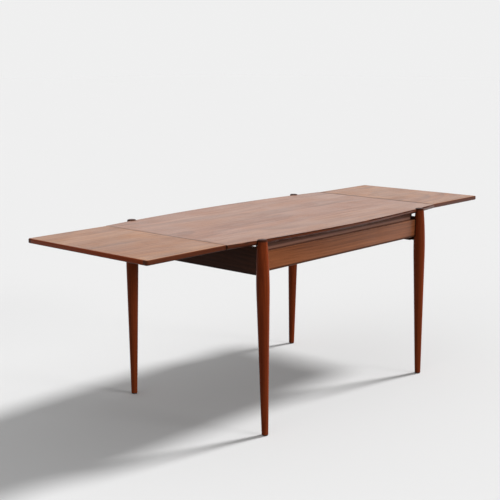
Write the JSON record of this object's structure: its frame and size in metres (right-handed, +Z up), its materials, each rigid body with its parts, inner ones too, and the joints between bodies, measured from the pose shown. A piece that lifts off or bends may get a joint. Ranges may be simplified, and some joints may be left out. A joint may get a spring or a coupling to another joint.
{
  "type": "extending dining table",
  "caption": "Long dining table with turned tapered legs at the edge of a floating bowed top, and loose end leaves that rest on pull-out bearers.",
  "frame": {"origin": "On the floor, midway between the four feet.", "axes": "+X along the table's length to the right leaf, +Y to the back long side, +Z up."},
  "size_m": [2.0876, 0.7652, 0.7401],
  "materials": {
    "main_veneer": "oiled and polished teak veneer, grain along the table",
    "leaf_veneer": "oiled and polished teak veneer, grain along the table",
    "lipping_wood": "polished solid teak edging",
    "leg_wood": "turned and polished solid teak",
    "apron_wood": "satin teak, grain along the rail or strip",
    "inner_wood": "plain planed beech",
    "screw_steel": "plain zinc-plated steel",
    "glide_nylon": "dark nylon"
  },
  "bodies": {
    "frame": {"leg_left_front": "leg_wood", "foot_glide_left_front": "glide_nylon", "corner_block_left_front": "inner_wood", "seam_ledge_left_front": "inner_wood", "leg_left_back": "leg_wood", "foot_glide_left_back": "glide_nylon", "corner_block_left_back": "inner_wood", "seam_ledge_left_back": "inner_wood", "end_apron_left": "apron_wood", "cross_rail_left": "inner_wood", "main_lipping_left": "lipping_wood", "leg_right_front": "leg_wood", "foot_glide_right_front": "glide_nylon", "corner_block_right_front": "inner_wood", "seam_ledge_right_front": "inner_wood", "leg_right_back": "leg_wood", "foot_glide_right_back": "glide_nylon", "corner_block_right_back": "inner_wood", "seam_ledge_right_back": "inner_wood", "end_apron_right": "apron_wood", "cross_rail_right": "inner_wood", "main_lipping_right": "lipping_wood", "long_apron_front": "apron_wood", "top_batten_front": "apron_wood", "main_lipping_front": "lipping_wood", "long_apron_back": "apron_wood", "top_batten_back": "apron_wood", "main_lipping_back": "lipping_wood", "centre_rail": "inner_wood", "main_panel": "main_veneer", "top_screws": "screw_steel", "ledge_screws": "screw_steel"},
    "leaf_left": {"leaf_left_panel": "leaf_veneer", "leaf_left_pegs": "inner_wood", "leaf_left_lipping_front": "lipping_wood", "leaf_left_lipping_back": "lipping_wood", "leaf_left_lipping_inner": "lipping_wood", "leaf_left_lipping_outer": "lipping_wood"},
    "bearers_left": {"bearer_left_front": "inner_wood", "bearer_left_back": "inner_wood", "bearer_left_tie": "inner_wood", "bearer_left_stops": "inner_wood", "bearer_left_screws": "screw_steel"},
    "leaf_right": {"leaf_right_panel": "leaf_veneer", "leaf_right_pegs": "inner_wood", "leaf_right_lipping_front": "lipping_wood", "leaf_right_lipping_back": "lipping_wood", "leaf_right_lipping_inner": "lipping_wood", "leaf_right_lipping_outer": "lipping_wood"},
    "bearers_right": {"bearer_right_front": "inner_wood", "bearer_right_back": "inner_wood", "bearer_right_tie": "inner_wood", "bearer_right_stops": "inner_wood", "bearer_right_screws": "screw_steel"}
  },
  "joints": [
    {"name": "leaf_left_lift", "type": "slide", "parent": "frame", "child": "leaf_left", "axis": [0, 0, 1], "range_m": [0, 0.25]},
    {"name": "bearer_left_slide", "type": "slide", "parent": "frame", "child": "bearers_left", "axis": [1, 0, 0], "range_m": [0, 0.356]},
    {"name": "leaf_right_lift", "type": "slide", "parent": "frame", "child": "leaf_right", "axis": [0, 0, 1], "range_m": [0, 0.25]},
    {"name": "bearer_right_slide", "type": "slide", "parent": "frame", "child": "bearers_right", "axis": [-1, 0, 0], "range_m": [0, 0.356]}
  ]
}
